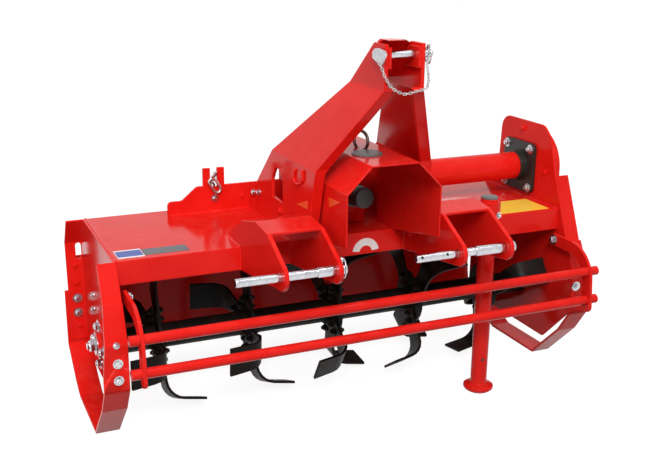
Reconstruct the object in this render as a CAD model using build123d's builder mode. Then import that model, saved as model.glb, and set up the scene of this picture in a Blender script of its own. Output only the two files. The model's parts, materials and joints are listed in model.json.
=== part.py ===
from build123d import *
from math import cos, radians, sin
import os

os.makedirs("parts", exist_ok=True)

# A tractor-mounted rotary tiller, parked on its two skids and its stand, in millimetres.
# +Z is up from the floor, the tractor is towards -Y, and +X is the machine's left, its drive side.
# The origin is on the floor under the middle of the machine.
# Side profiles are (Y, Z) pairs with Y counted from the front fold of the hood and Z from the floor.
HOOD_FRONT_Y = -176.0


def side_plane(x):
    """A plane across the machine at X, for (Y, Z) profiles; it extrudes towards +X."""
    return Plane(origin=(x, HOOD_FRONT_Y, 0), x_dir=(0, 1, 0), z_dir=(1, 0, 0))


def front_plane(y):
    """An upright plane at Y, for (X, Z) profiles; it extrudes towards the tractor."""
    return Plane(origin=(0, HOOD_FRONT_Y + y, 0), x_dir=(1, 0, 0), z_dir=(0, -1, 0))


def level_plane(z):
    """A level plane at Z, for (X, Y) profiles; it extrudes upwards."""
    return Plane(origin=(0, HOOD_FRONT_Y, z), x_dir=(1, 0, 0), z_dir=(0, 0, 1))


# ---- driving dimensions ---------------------------------------------------------------------
WORK_WIDTH = 1400.0  # between the inner faces of the side plates
HALF_WIDTH = WORK_WIDTH / 2
PLATE = 8.0  # side plates
SHEET = 5.0  # hood and tailboard
FOLD = 6.0  # folded edges of the side plates
FRONT_FOLD = 43.0
REAR_FOLD = 50.0
OUTER = HALF_WIDTH + PLATE  # outer face of a side plate
SIDE_REACH = 60.0  # skids, gear case and bearing stand out this far
SKID = 8.0

DECK_Z = 525.0  # top of the hood
DECK_REAR = 436.0
FRONT_STRIP = 67.0  # depth of the folded front of the hood
REAR_BEND = (492.0, 443.0)  # where the sloping rear of the hood folds down
HOOD_BACK = 500.0

ROTOR_Y = 190.0
ROTOR_Z = 220.0
ROTOR_TUBE_R = 36.0
ROTOR_FLANGE_R = 80.0
ROTOR_FLANGE = 10.0
FLANGE_PITCH = 280.0
FLANGE_COUNT = 5
BLADE = 8.0

DRIVE_Y = 219.0
DRIVE_Z = 622.0
DRIVE_TUBE_R = 44.5
HITCH_X = -28.0  # middle of the hitch, mast and input shaft
SHAFT_TILT = 5.5  # degrees that the input shaft rises towards the tractor
SHAFT_R = 17.4

LOWER_PIN = (-299.0, 535.0)
LOWER_PIN_R = 14.0  # thick part
LOWER_TIP_R = 11.0  # thin part, which takes the tractor's lower link
TOP_PIN = (-266.0, 1061.5)
TOP_PIN_R = 9.5

GUARD_PIVOT = (-15.0, 430.0)
GUARD_BAR_R = 14.0
TAIL_HINGE = (522.0, 396.0)
STAND_X = 380.0
STAND_Y = -86.0
STAND_R = 25.0
PIN_GAP = 0.3  # clearance round a pin
SMALL_SIDES = 12  # flats that stand for the round of small repeated rods and eyes
ROUND_SIDES = 24  # the same for larger repeated rims and collars


def save(piece, label):
    """Name a finished piece and write it."""
    piece.part.label = label
    export_step(piece.part, f"parts/{label}.step")


# ---- hood -----------------------------------------------------------------------------------
HOOD_LINE = [
    (0, DECK_Z - FRONT_STRIP),
    (0, DECK_Z),
    (DECK_REAR, DECK_Z),
    REAR_BEND,
    (HOOD_BACK, 392),
    (HOOD_BACK, 360),
]
with BuildPart() as hood_deck:
    with BuildSketch(side_plane(-HALF_WIDTH)):
        with BuildLine():
            Polyline(*HOOD_LINE)
            offset(amount=SHEET, side=Side.RIGHT)
        make_face()
    extrude(amount=WORK_WIDTH)
save(hood_deck, "hood_deck")

# The tailboard's hinge rod lies in knuckles welded to the back of the hood.
HINGE_ROD_R = 8.0
KNUCKLE_R = 15.0
KNUCKLE = 60.0
HOOD_KNUCKLES = (-600, -200, 200, 600)
TAIL_KNUCKLES = (-520, -120, 280, 520)
HINGE_END = 40.0
with BuildPart() as tail_hinge:
    for knuckle_x in HOOD_KNUCKLES:
        with BuildSketch(side_plane(knuckle_x - KNUCKLE / 2)):
            with Locations(TAIL_HINGE):
                RegularPolygon(KNUCKLE_R, SMALL_SIDES)
            with Locations((TAIL_HINGE[0], TAIL_HINGE[1] - HINGE_ROD_R)):
                Rectangle(TAIL_HINGE[0] - HOOD_BACK, HINGE_ROD_R, align=(Align.MAX, Align.MIN))
        extrude(amount=KNUCKLE)
    with BuildSketch(side_plane(-HALF_WIDTH + HINGE_END)):
        with Locations(TAIL_HINGE):
            RegularPolygon(HINGE_ROD_R, SMALL_SIDES)
    extrude(amount=WORK_WIDTH - 2 * HINGE_END)
save(tail_hinge, "tail_hinge")

# ---- side plates ----------------------------------------------------------------------------
FRONT_EDGE = [(-45, 441), (-90, 331), (-90, 205)]
REAR_EDGE = [(484, 125), (484, 287), REAR_BEND, (DECK_REAR, DECK_Z)]
LOWER_EDGE = [(35, 78), (430, 84)]
# side, label, top edge from the back to the front, start of the front fold
SIDE_PLATES = [
    (-1, "side_plate_right", [(0, DECK_Z)], (0, DECK_Z)),
    (1, "side_plate_left", [(350, 600), (340, 772), (110, 772), (68, 736), (33, 623)], (33, 623)),
]
PLATE_ROUND = 45.0
BEARING_HOLE_R = 48.0
SLOT = (50.0, 17.0)  # lifting slot in the upper part of the rear fold
SLOT_OUT = 10.0  # from the plate's outer face to the middle of the slot
SLOT_Z = 412.0
for side, label, top_edge, fold_start in SIDE_PLATES:
    with BuildPart() as side_plate:
        with BuildSketch(side_plane(side * HALF_WIDTH)) as outline:
            with BuildLine():
                Polyline(*top_edge, *FRONT_EDGE, *LOWER_EDGE, *REAR_EDGE, close=True)
            make_face()
            if side > 0:
                fillet(outline.vertices().group_by(Axis.Y)[-1], PLATE_ROUND)
            with Locations((ROTOR_Y, ROTOR_Z)):
                Circle(BEARING_HOLE_R, mode=Mode.SUBTRACT)
        extrude(amount=side * PLATE)
        for edge, width in [((fold_start, *FRONT_EDGE), FRONT_FOLD), (REAR_EDGE, REAR_FOLD)]:
            with BuildSketch(side_plane(side * OUTER)):
                with BuildLine():
                    Polyline(*edge)
                    offset(amount=FOLD, side=Side.LEFT)
                make_face()
            extrude(amount=side * width)
        with BuildSketch(front_plane(REAR_BEND[0] + FOLD)):
            with Locations((side * (OUTER + SLOT_OUT), SLOT_Z)):
                SlotOverall(*SLOT, rotation=90)
        extrude(amount=4 * FOLD, mode=Mode.SUBTRACT)
    save(side_plate, label)

# ---- skids: one bent strap each, bolted over the folded edges --------------------------------
SKID_LINE = [
    (-49.5, 430),
    (-90, 331),
    (-90, 205),
    (-42, 133),
    (83, SKID),
    (320, SKID),
    (377, 36),
    (484, 112),
    (484, 287),
]
# the strap narrows towards its upper front end, as (distance out, Z) of the corner cut off it
SKID_CUT = [(FRONT_FOLD, 441), (SIDE_REACH, 240), (SIDE_REACH + SKID, 441)]
for side, label in [(-1, "skid_right"), (1, "skid_left")]:
    with BuildPart() as skid:
        with BuildSketch(side_plane(side * HALF_WIDTH)):
            with BuildLine():
                Polyline(*SKID_LINE)
                offset(amount=SKID, side=Side.RIGHT)
            make_face()
        extrude(amount=side * (PLATE + SIDE_REACH))
        with BuildSketch(front_plane(0)):
            with BuildLine():
                Polyline(*[(side * (OUTER + out), height) for out, height in SKID_CUT], close=True)
            make_face()
        extrude(amount=DECK_REAR, mode=Mode.SUBTRACT)
    save(skid, label)

# ---- gear case on the drive side, bearing on the other ----------------------------------------
CASE_RIM = 14.0
CASE_TOP_R = 134.0
CASE_LOW_R = 112.0
CASE_STEP = 12.0
with BuildPart() as gear_case:
    for start, reach, inset in [(0, CASE_RIM, 0), (CASE_RIM, SIDE_REACH - CASE_RIM, CASE_STEP)]:
        with BuildSketch(side_plane(OUTER + start)):
            with Locations((DRIVE_Y, DRIVE_Z)):
                Circle(CASE_TOP_R - inset)
            with Locations((ROTOR_Y, ROTOR_Z)):
                Circle(CASE_LOW_R - inset)
            make_hull()
        extrude(amount=reach)
save(gear_case, "gear_case")

# radius and depth of each step of the bearing housing, outwards from the side plate
BEARING_STEPS = [(72, 14), (36, 10)]
with BuildPart() as bearing_housing:
    step_x = -OUTER
    for radius, depth in BEARING_STEPS:
        with BuildSketch(side_plane(step_x)):
            with Locations((ROTOR_Y, ROTOR_Z)):
                Circle(radius)
        extrude(amount=-depth)
        step_x -= depth
save(bearing_housing, "bearing_housing")

# ---- rear beam with the chain lugs ------------------------------------------------------------
BEAM_Y = 386.0
BEAM = 10.0
BEAM_END = (-434.0, 429.0)
BEAM_HEIGHT = 81.0
BEAM_STEP = (45.0, 41.0)  # width and height of the low step at each end
BEAM_SLOPE = 48.0  # run of the slope above a step
BEAM_ROUND = 14.0
LUG_HALF = 34.0  # the chains lie in notched lugs that stand up from the beam
LUG_TOP = 661.0
NOTCH_HALF = 11.0
NOTCH_Z = 602.0
CHAIN_XS = (-315.0, 259.0)
with BuildPart() as rear_beam:
    with BuildSketch(front_plane(BEAM_Y)) as beam_outline:
        with BuildLine():
            Polyline(
                (HITCH_X + BEAM_END[0], DECK_Z),
                (HITCH_X + BEAM_END[0], DECK_Z + BEAM_STEP[1]),
                (HITCH_X + BEAM_END[0] + BEAM_STEP[0], DECK_Z + BEAM_STEP[1]),
                (HITCH_X + BEAM_END[0] + BEAM_STEP[0] + BEAM_SLOPE, DECK_Z + BEAM_HEIGHT),
                (HITCH_X + BEAM_END[1] - BEAM_STEP[0] - BEAM_SLOPE, DECK_Z + BEAM_HEIGHT),
                (HITCH_X + BEAM_END[1] - BEAM_STEP[0], DECK_Z + BEAM_STEP[1]),
                (HITCH_X + BEAM_END[1], DECK_Z + BEAM_STEP[1]),
                (HITCH_X + BEAM_END[1], DECK_Z),
                close=True,
            )
        make_face()
        fillet(beam_outline.vertices().group_by(Axis.Y)[1], BEAM_ROUND)
        fillet(beam_outline.vertices().group_by(Axis.Y)[-1], BEAM_ROUND)
        for chain_x in CHAIN_XS:
            with Locations((chain_x, DECK_Z)):
                Rectangle(2 * LUG_HALF, LUG_TOP - DECK_Z, align=(Align.CENTER, Align.MIN))
            with Locations((chain_x, NOTCH_Z)):
                Rectangle(
                    2 * NOTCH_HALF, LUG_TOP - NOTCH_Z, align=(Align.CENTER, Align.MIN), mode=Mode.SUBTRACT
                )
    extrude(amount=BEAM)
save(rear_beam, "rear_beam")

# ---- mast: two plates that lean in to the top link --------------------------------------------
MAST = 10.0
MAST_LOW = 174.0  # half width over the plates at the foot
MAST_TOP = 56.0
MAST_KNEE_Z = 750.0
MAST_NECK_Z = 977.0
MAST_TOP_Z = 1090.0
MAST_FRONT = [(-85, DECK_Z), (-148, 757), (-293, MAST_NECK_Z), (-293, MAST_TOP_Z)]
MAST_REAR = [(-231, MAST_TOP_Z), (-112, 990), (175, 747), (296, 634), (376, 552), (376, DECK_Z)]
MAST_WINDOW = [(88, 612), (88, 668), (112, 703), (147, 703), (171, 668), (171, 612)]
MAST_SPAN = 800.0
MAST_LIP = 30.0
TUBE_HOLE_R = DRIVE_TUBE_R + 2
for side, label in [(-1, "mast_arm_right"), (1, "mast_arm_left")]:
    arm_line = [
        (HITCH_X + side * MAST_LOW, DECK_Z),
        (HITCH_X + side * MAST_LOW, MAST_KNEE_Z),
        (HITCH_X + side * MAST_TOP, MAST_NECK_Z),
        (HITCH_X + side * MAST_TOP, MAST_TOP_Z),
    ]
    with BuildPart() as mast_lip:
        with BuildSketch(front_plane(MAST_SPAN / 2)):
            with BuildLine():
                Polyline(*arm_line)
                offset(amount=MAST_LIP, side=Side.LEFT if side > 0 else Side.RIGHT)
            make_face()
        extrude(amount=MAST_SPAN)
        with BuildSketch(side_plane(HITCH_X - MAST_LOW)):
            with BuildLine():
                Polyline(*MAST_FRONT[:3])
                offset(amount=MAST, side=Side.RIGHT)
            make_face()
        extrude(amount=2 * MAST_LOW, mode=Mode.INTERSECT)
    with BuildPart() as mast_arm:
        with BuildSketch(front_plane(MAST_SPAN / 2)):
            with BuildLine():
                Polyline(*arm_line)
                offset(amount=MAST, side=Side.LEFT if side > 0 else Side.RIGHT)
            make_face()
        extrude(amount=MAST_SPAN)
        with BuildSketch(side_plane(HITCH_X - MAST_LOW)):
            with BuildLine():
                Polyline(*MAST_FRONT, *MAST_REAR, close=True)
            make_face()
            with Locations(TOP_PIN):
                RegularPolygon(TOP_PIN_R + PIN_GAP, SMALL_SIDES, major_radius=False, mode=Mode.SUBTRACT)
            if side > 0:
                with Locations((DRIVE_Y, DRIVE_Z)):
                    Circle(TUBE_HOLE_R, mode=Mode.SUBTRACT)
            else:
                with BuildLine():
                    Polyline(*MAST_WINDOW, close=True)
                make_face(mode=Mode.SUBTRACT)
        extrude(amount=2 * MAST_LOW, mode=Mode.INTERSECT)
        add(mast_lip.part)
    save(mast_arm, label)

# The head ties the two plates together round the top pin: doublers, and a plate rolled over them.
HEAD_HALF = MAST_TOP - MAST
DOUBLER = 9.0
CAP = 8.0
CAP_LOW = (-122.0, 986.0)
CAP_BEND = (-214.0, 1066.0)
CAP_CROWN = (-243.0, 1090.0)
CAP_FRONT = (-290.0, 1097.0)
HEAD_OUTLINE = [
    (HITCH_X - HEAD_HALF, 980),
    (HITCH_X + HEAD_HALF, 980),
    (HITCH_X + HEAD_HALF, 1086),
    (HITCH_X + 20, 1096),
    (HITCH_X - 14, 1099),
    (HITCH_X - HEAD_HALF, 1099),
]
DOUBLER_LINE = [(-293, 1030), (-293, 1082), (-240, 1082), (-222, 1064), (-222, 1030)]
with BuildPart() as mast_head:
    for doubler_x in (HITCH_X - HEAD_HALF, HITCH_X + HEAD_HALF - DOUBLER):
        with BuildSketch(side_plane(doubler_x)):
            with BuildLine():
                Polyline(*DOUBLER_LINE, close=True)
            make_face()
            with Locations(TOP_PIN):
                RegularPolygon(TOP_PIN_R + PIN_GAP, SMALL_SIDES, major_radius=False, mode=Mode.SUBTRACT)
        extrude(amount=DOUBLER)
    with BuildSketch(side_plane(HITCH_X - HEAD_HALF)):
        with BuildLine():
            Line(CAP_LOW, CAP_BEND)
            ThreePointArc(CAP_BEND, CAP_CROWN, CAP_FRONT)
            offset(amount=CAP, side=Side.RIGHT)
        make_face()
    extrude(amount=2 * HEAD_HALF)
    with BuildSketch(front_plane(0)):
        with BuildLine():
            Polyline(*HEAD_OUTLINE, close=True)
        make_face()
    extrude(amount=MAST_SPAN / 2, mode=Mode.INTERSECT)
save(mast_head, "mast_head")

# The top pin has a flat handle on its right end.
TOP_PIN_END = (-64.0, 88.0)
HANDLE = 6.0
HANDLE_LINE = [(-250, 1068), (-262, 1078), (-286, 1081), (-312, 1077), (-322, 1069), (-300, 1043), (-276, 1046), (-252, 1054)]
with BuildPart() as top_link_pin:
    with BuildSketch(side_plane(HITCH_X + TOP_PIN_END[0])):
        with Locations(TOP_PIN):
            Circle(TOP_PIN_R)
    extrude(amount=TOP_PIN_END[1] - TOP_PIN_END[0])
    with BuildSketch(side_plane(HITCH_X + TOP_PIN_END[0])):
        with BuildLine():
            Polyline(*HANDLE_LINE, close=True)
        make_face()
    extrude(amount=-HANDLE)
save(top_link_pin, "top_link_pin")

# ---- lower hitch ------------------------------------------------------------------------------
EAR = 12.0
EAR_NOSE_R = 35.0
EAR_LINE = [(120, DECK_Z), (94, 543), (-14, 604), (-120, 630), (-209, 621), (-322, 562)]
EAR_UNDER = [(-310, 501), (0, DECK_Z - FRONT_STRIP), (0, DECK_Z)]
BRIDGE_LINE = [(-14, 604), (-120, 630), (-209, 621)]
BRIDGE = 8.0
PIN_SEAT_R = 11.5  # of the pin inside the thin hole
PIN_CHAMFER = 2.0
# label, X of the two ears, X of the pin's tip, step and thick end
BRACKETS = [
    ("right", -360, -214, -476, -262, -183),
    ("left", 146, 292, 20, 200, 323),
]
for label, ear_a, ear_b, tip_x, step_x, end_x in BRACKETS:
    with BuildPart() as hitch_bracket:
        for ear_x, hole_r in [(ear_a, PIN_SEAT_R), (ear_b, LOWER_PIN_R)]:
            with BuildSketch(side_plane(ear_x)):
                with BuildLine():
                    Polyline(*EAR_LINE, *EAR_UNDER, close=True)
                make_face()
                with Locations(LOWER_PIN):
                    Circle(EAR_NOSE_R)
                    RegularPolygon(hole_r + PIN_GAP, ROUND_SIDES, major_radius=False, mode=Mode.SUBTRACT)
            extrude(amount=EAR)
        with BuildSketch(side_plane(ear_a + EAR)):
            with BuildLine():
                Polyline(*BRIDGE_LINE)
                offset(amount=BRIDGE, side=Side.LEFT)
            make_face()
        extrude(amount=ear_b - ear_a - EAR)
    save(hitch_bracket, f"hitch_bracket_{label}")
    seat_x = ear_a - PIN_CHAMFER
    pin_steps = [(tip_x, seat_x, LOWER_TIP_R), (seat_x, step_x, PIN_SEAT_R), (step_x, end_x, LOWER_PIN_R)]
    with BuildPart() as hitch_pin:
        for start_x, stop_x, radius in pin_steps:
            with BuildSketch(side_plane(start_x)):
                with Locations(LOWER_PIN):
                    Circle(radius)
            extrude(amount=stop_x - start_x)
        chamfer(hitch_pin.faces().sort_by(Axis.X)[0].edges(), PIN_CHAMFER)
    save(hitch_pin, f"hitch_pin_{label}")

# ---- input shaft, gearbox and shield ----------------------------------------------------------
BOX_HALF = 95.0
BOX_FRONT = 105.0
BOX_REAR = 325.0
BOX_TOP = 725.0
BOX_ROUND = 30.0
NECK_R = 62.0
NECK = 25.0  # how far the necks of the drive tube and the far bearing stand out
COVER = 14.0
FACE_AHEAD = 155.0  # front of the input neck, ahead of the drive tube's axis
SHAFT_SINK = 60.0
SHAFT_LENGTH = 210.0
SEAL_R = 34.0
SEAL = 12.0
SPLINES = 6
SPLINE_LENGTH = 75.0
SPLINE_WIDTH = 8.0
SPLINE_ROOT_R = 14.5


def shaft_plane(ahead):
    """A plane square to the input shaft, a distance ahead of the drive tube's axis."""
    tilt = radians(SHAFT_TILT)
    start = (HITCH_X, HOOD_FRONT_Y + DRIVE_Y - ahead * cos(tilt), DRIVE_Z + ahead * sin(tilt))
    return Plane(origin=start, x_dir=(1, 0, 0), z_dir=(0, -cos(tilt), sin(tilt)))


BOX_LINE = [(BOX_FRONT, DECK_Z), (BOX_REAR, DECK_Z), (BOX_REAR, BOX_TOP), (BOX_FRONT, BOX_TOP)]
with BuildPart() as gearbox:
    with BuildSketch(side_plane(HITCH_X - BOX_HALF)) as box_outline:
        with BuildLine():
            Polyline(*BOX_LINE, close=True)
        make_face()
        fillet(box_outline.vertices().group_by(Axis.Y)[-1], BOX_ROUND)
    extrude(amount=2 * BOX_HALF)
    for neck_x, reach in [(HITCH_X + BOX_HALF, NECK), (HITCH_X - BOX_HALF, -COVER)]:
        with BuildSketch(side_plane(neck_x)):
            with Locations((DRIVE_Y, DRIVE_Z)):
                Circle(NECK_R)
        extrude(amount=reach)
    with BuildSketch(shaft_plane(DRIVE_Y - BOX_FRONT - NECK)):
        Circle(NECK_R)
    extrude(amount=FACE_AHEAD - (DRIVE_Y - BOX_FRONT - NECK))
    with BuildSketch(shaft_plane(FACE_AHEAD)):
        Circle(SHAFT_R + 1)
    extrude(amount=-SHAFT_SINK, mode=Mode.SUBTRACT)
save(gearbox, "gearbox")

with BuildPart() as input_shaft:
    with BuildSketch(shaft_plane(FACE_AHEAD - SHAFT_SINK + 1)):
        Circle(SHAFT_R)
    extrude(amount=SHAFT_LENGTH - SPLINE_LENGTH)
    with BuildSketch(shaft_plane(FACE_AHEAD - SHAFT_SINK + 1 + SHAFT_LENGTH - SPLINE_LENGTH)):
        RegularPolygon(SPLINE_ROOT_R, 2 * SPLINES)
        with PolarLocations(SPLINE_ROOT_R - 2, SPLINES):
            Rectangle(2 * (SHAFT_R - SPLINE_ROOT_R + 2), SPLINE_WIDTH)
    extrude(amount=SPLINE_LENGTH)
save(input_shaft, "input_shaft")

# Collar of the shaft's seal, screwed to the neck.
with BuildPart() as shaft_seal:
    with BuildSketch(shaft_plane(FACE_AHEAD)):
        RegularPolygon(SEAL_R, ROUND_SIDES)
        RegularPolygon(SHAFT_R + 1, ROUND_SIDES, mode=Mode.SUBTRACT)
    extrude(amount=SEAL)
save(shaft_seal, "shaft_seal")

SHIELD = 4.0
SHIELD_HALF = 138.0
SHIELD_TOP = 785.0
SHIELD_FRONT = -265.0
SHIELD_REAR = 100.0
SHIELD_CUT = 70.0
with BuildPart() as pto_shield:
    with BuildSketch(front_plane(SHIELD_REAR)):
        with BuildLine():
            Polyline(
                (HITCH_X - SHIELD_HALF, DECK_Z),
                (HITCH_X - SHIELD_HALF, SHIELD_TOP - SHIELD_CUT),
                (HITCH_X - SHIELD_HALF + SHIELD_CUT, SHIELD_TOP),
                (HITCH_X + SHIELD_HALF - SHIELD_CUT, SHIELD_TOP),
                (HITCH_X + SHIELD_HALF, SHIELD_TOP - SHIELD_CUT),
                (HITCH_X + SHIELD_HALF, DECK_Z),
            )
            offset(amount=SHIELD, side=Side.RIGHT)
        make_face()
    extrude(amount=SHIELD_REAR - SHIELD_FRONT)
    with BuildSketch(side_plane(HITCH_X - SHIELD_HALF)):
        with BuildLine():
            Polyline(
                (0, DECK_Z),
                (SHIELD_REAR, DECK_Z),
                (SHIELD_REAR, SHIELD_TOP),
                (SHIELD_FRONT, SHIELD_TOP),
                (SHIELD_FRONT, 575),
                close=True,
            )
        make_face()
    extrude(amount=2 * SHIELD_HALF, mode=Mode.INTERSECT)
save(pto_shield, "pto_shield")

TUBE_FLANGE = 12.0
TUBE_FLANGE_SIDE = 165.0
TUBE_COLLAR = 20.0
TUBE_COLLAR_R = 50.0
TUBE_START = HITCH_X + BOX_HALF + NECK
with BuildPart() as drive_tube:
    with BuildSketch(side_plane(TUBE_START)):
        with Locations((DRIVE_Y, DRIVE_Z)):
            Circle(DRIVE_TUBE_R)
    extrude(amount=HALF_WIDTH - TUBE_FLANGE - TUBE_COLLAR - TUBE_START)
save(drive_tube, "drive_tube")

with BuildPart() as tube_flange:
    with BuildSketch(side_plane(HALF_WIDTH - TUBE_FLANGE)):
        with Locations((DRIVE_Y, DRIVE_Z)):
            RectangleRounded(TUBE_FLANGE_SIDE, TUBE_FLANGE_SIDE, TUBE_FLANGE_SIDE / 8)
    extrude(amount=TUBE_FLANGE)
    with BuildSketch(side_plane(HALF_WIDTH - TUBE_FLANGE)):
        with Locations((DRIVE_Y, DRIVE_Z)):
            RegularPolygon(TUBE_COLLAR_R, 2 * ROUND_SIDES)
    extrude(amount=-TUBE_COLLAR)
save(tube_flange, "tube_flange")

# ---- rotor ------------------------------------------------------------------------------------
FIRST_FLANGE = -FLANGE_PITCH * (FLANGE_COUNT - 1) / 2
FLANGE_XS = [FIRST_FLANGE + FLANGE_PITCH * index for index in range(FLANGE_COUNT)]
with BuildPart() as rotor_tube:
    with BuildSketch(side_plane(-OUTER)):
        with Locations((ROTOR_Y, ROTOR_Z)):
            Circle(ROTOR_TUBE_R)
    extrude(amount=2 * OUTER)
    for flange_x in FLANGE_XS:
        with BuildSketch(side_plane(flange_x - ROTOR_FLANGE / 2)):
            with Locations((ROTOR_Y, ROTOR_Z)):
                RegularPolygon(ROTOR_FLANGE_R, ROUND_SIDES)
        extrude(amount=ROTOR_FLANGE)
save(rotor_tube, "rotor_tube")

# Each blade is a flat bar bolted to its flange, raked back from the radius and curved out to one side.
ROTOR_ORIGIN = (0, HOOD_FRONT_Y + ROTOR_Y, ROTOR_Z)
BLADE_BOLT = 62.0  # middle of the blade's foot, from the rotor's axis
BLADE_RAKE = 14.0  # degrees
BLADE_FOOT = -20.0  # ends of the blade, from the middle of its foot
BLADE_TIP = 145.0
BLADE_BEND_R = 58.0  # outside of the curve
BLADE_BEND = 80.0  # degrees
BLADE_END = 66.0  # flat end beyond the curve
BEND_STEPS = 5
BLADE_SPAN = 140.0  # more than the blade's reach along the rotor
# the blade's edges seen along the rotor, from its foot out to its wider cutting end
BLADE_OUTLINE = [(-30, BLADE_FOOT), (30, BLADE_FOOT), (30, 50), (44, BLADE_TIP), (-44, BLADE_TIP), (-30, 60)]


def blade(flange_x, hand, phase):
    """One blade on a flange, its end towards hand (+1 or -1 along X), turned by phase degrees."""
    foot_x = flange_x + hand * ROTOR_FLANGE / 2
    bend = radians(BLADE_BEND)
    bend_z = BLADE_TIP - BLADE_BEND_R * sin(bend) - BLADE_END * cos(bend)
    line = [(foot_x, BLADE_FOOT)]
    for step in range(BEND_STEPS + 1):
        turn = bend * step / BEND_STEPS
        line.append((foot_x + hand * BLADE_BEND_R * (1 - cos(turn)), bend_z + BLADE_BEND_R * sin(turn)))
    line.append((line[-1][0] + hand * BLADE_END * sin(bend), BLADE_TIP))
    with BuildPart() as one:
        with BuildSketch(Plane.XZ.offset(-BLADE_SPAN)):
            with BuildLine():
                Polyline(*line)
                offset(amount=BLADE, side=Side.RIGHT if hand > 0 else Side.LEFT)
            make_face()
        extrude(amount=2 * BLADE_SPAN)
        with BuildSketch(Plane.YZ.offset(flange_x - BLADE_SPAN)):
            with BuildLine():
                Polyline(*BLADE_OUTLINE, close=True)
            make_face()
        extrude(amount=2 * BLADE_SPAN, mode=Mode.INTERSECT)
    raked = one.part.rotate(Axis.X, -BLADE_RAKE).moved(Location((0, 0, BLADE_BOLT)))
    return raked.rotate(Axis.X, phase).moved(Location(ROTOR_ORIGIN))


# Four blades to a flange: their hands, and their places round it after the first one.
BLADE_PLACES = [(-1, 0), (1, 65), (-1, 180), (1, 245)]
# How far the first blade of each flange is turned, from the right to the left of the machine.
BLADE_PHASES = [105, 108, 135, 160, 186]
for index, first in enumerate(BLADE_PHASES):
    blades = [blade(FLANGE_XS[index], hand, first + turn) for hand, turn in BLADE_PLACES]
    with BuildPart() as blade_set:
        for each in blades:
            add(each)
    save(blade_set, f"blade_set_{index + 1}")

# ---- front guard ------------------------------------------------------------------------------
GUARD_ARM = 10.0
GUARD_ARM_WIDTH = 38.0
GUARD_ARM_X = 679.0  # inner face
UPPER_BAR = (-183.0, 376.0)
LOWER_BAR = (-191.0, 288.0)
ARM_END = (-193.0, 268.0)
ARM_BEND = (-100.0, 428.0)
BAR_HALF = 716.0
for side, label in [(-1, "guard_arm_right"), (1, "guard_arm_left")]:
    with BuildPart() as guard_arm:
        with BuildSketch(side_plane(side * GUARD_ARM_X)):
            with BuildLine() as spine:
                straight = Line(GUARD_PIVOT, ARM_BEND)
                curve = TangentArc(ARM_BEND, (-184, 360), tangent=straight % 1)
                Line((-184, 360), ARM_END)
            trace(line_width=GUARD_ARM_WIDTH)
            with Locations(GUARD_PIVOT, ARM_END):
                Circle(GUARD_ARM_WIDTH / 2)
            with Locations(UPPER_BAR, LOWER_BAR):
                RegularPolygon(GUARD_BAR_R, ROUND_SIDES, major_radius=False, mode=Mode.SUBTRACT)
        extrude(amount=side * GUARD_ARM)
    save(guard_arm, label)
for centre, label in [(UPPER_BAR, "guard_bar_upper"), (LOWER_BAR, "guard_bar_lower")]:
    with BuildPart() as guard_bar:
        with BuildSketch(side_plane(-BAR_HALF)):
            with Locations(centre):
                Circle(GUARD_BAR_R)
        extrude(amount=2 * BAR_HALF)
    save(guard_bar, label)

# ---- tailboard --------------------------------------------------------------------------------
TAIL_HALF = 740.0
TAIL_BACK = (569.0, 255.0)
TAIL_FOOT = (551.0, 84.0)
TAIL_HEAD = (540.0, 378.0)
EYE = (670.0, 330.0)
EYE_LUG = [(553, 352), (668, 347), (684, 339), (684, 321), (668, 313), (569, 262)]
LUG = 8.0
LUG_GAP = 44.0
CHAIN_PIN_R = 6.0
KNUCKLE_STRAP = [(522, 384), (537, 396), (549, 366), (539, 366)]
with BuildPart() as tailboard:
    with BuildSketch(side_plane(-TAIL_HALF)):
        with BuildLine():
            ThreePointArc(TAIL_HEAD, TAIL_BACK, TAIL_FOOT)
            offset(amount=SHEET, side=Side.LEFT)
        make_face()
    extrude(amount=2 * TAIL_HALF)
    for knuckle_x in TAIL_KNUCKLES:
        with BuildSketch(side_plane(knuckle_x - KNUCKLE / 2)):
            with Locations(TAIL_HINGE):
                RegularPolygon(KNUCKLE_R, SMALL_SIDES)
            with BuildLine():
                Polyline(*KNUCKLE_STRAP, close=True)
            make_face()
            with Locations(TAIL_HINGE):
                RegularPolygon(HINGE_ROD_R + PIN_GAP, SMALL_SIDES, mode=Mode.SUBTRACT)
        extrude(amount=KNUCKLE)
    for chain_x in CHAIN_XS:
        for lug_x in (chain_x - LUG_GAP / 2 - LUG, chain_x + LUG_GAP / 2):
            with BuildSketch(side_plane(lug_x)):
                with BuildLine():
                    Polyline(*EYE_LUG, close=True)
                make_face()
            extrude(amount=LUG)
        with BuildSketch(side_plane(chain_x - LUG_GAP / 2)):
            with Locations(EYE):
                RegularPolygon(CHAIN_PIN_R, SMALL_SIDES)
        extrude(amount=LUG_GAP)
save(tailboard, "tailboard")

# ---- tailboard chains -------------------------------------------------------------------------
CHAIN_WIRE_R = 4.2
CHAIN_TOP = (BEAM_Y - BEAM - CHAIN_WIRE_R, 640.0)  # the wire of the loose link that holds the chain
LINK_COUNT = 9
LINK_WIDTH = 30.0  # over the wires
LINK_CORNER = 7.0  # cut of the corners of a link's straightened round ends
WIRE_SIDES = 6
HANG = Vector(0, EYE[0] - CHAIN_TOP[0], EYE[1] - CHAIN_TOP[1])
LINK_PLAY = 0.4
PIN_WRAP = CHAIN_PIN_R + 3 * LINK_PLAY  # the lower end link lies round the pin of its lug
LINK_PITCH = (HANG.length + 2 * PIN_WRAP) / LINK_COUNT
LOOSE_LINK = LINK_PITCH + 4 * CHAIN_WIRE_R


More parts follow.
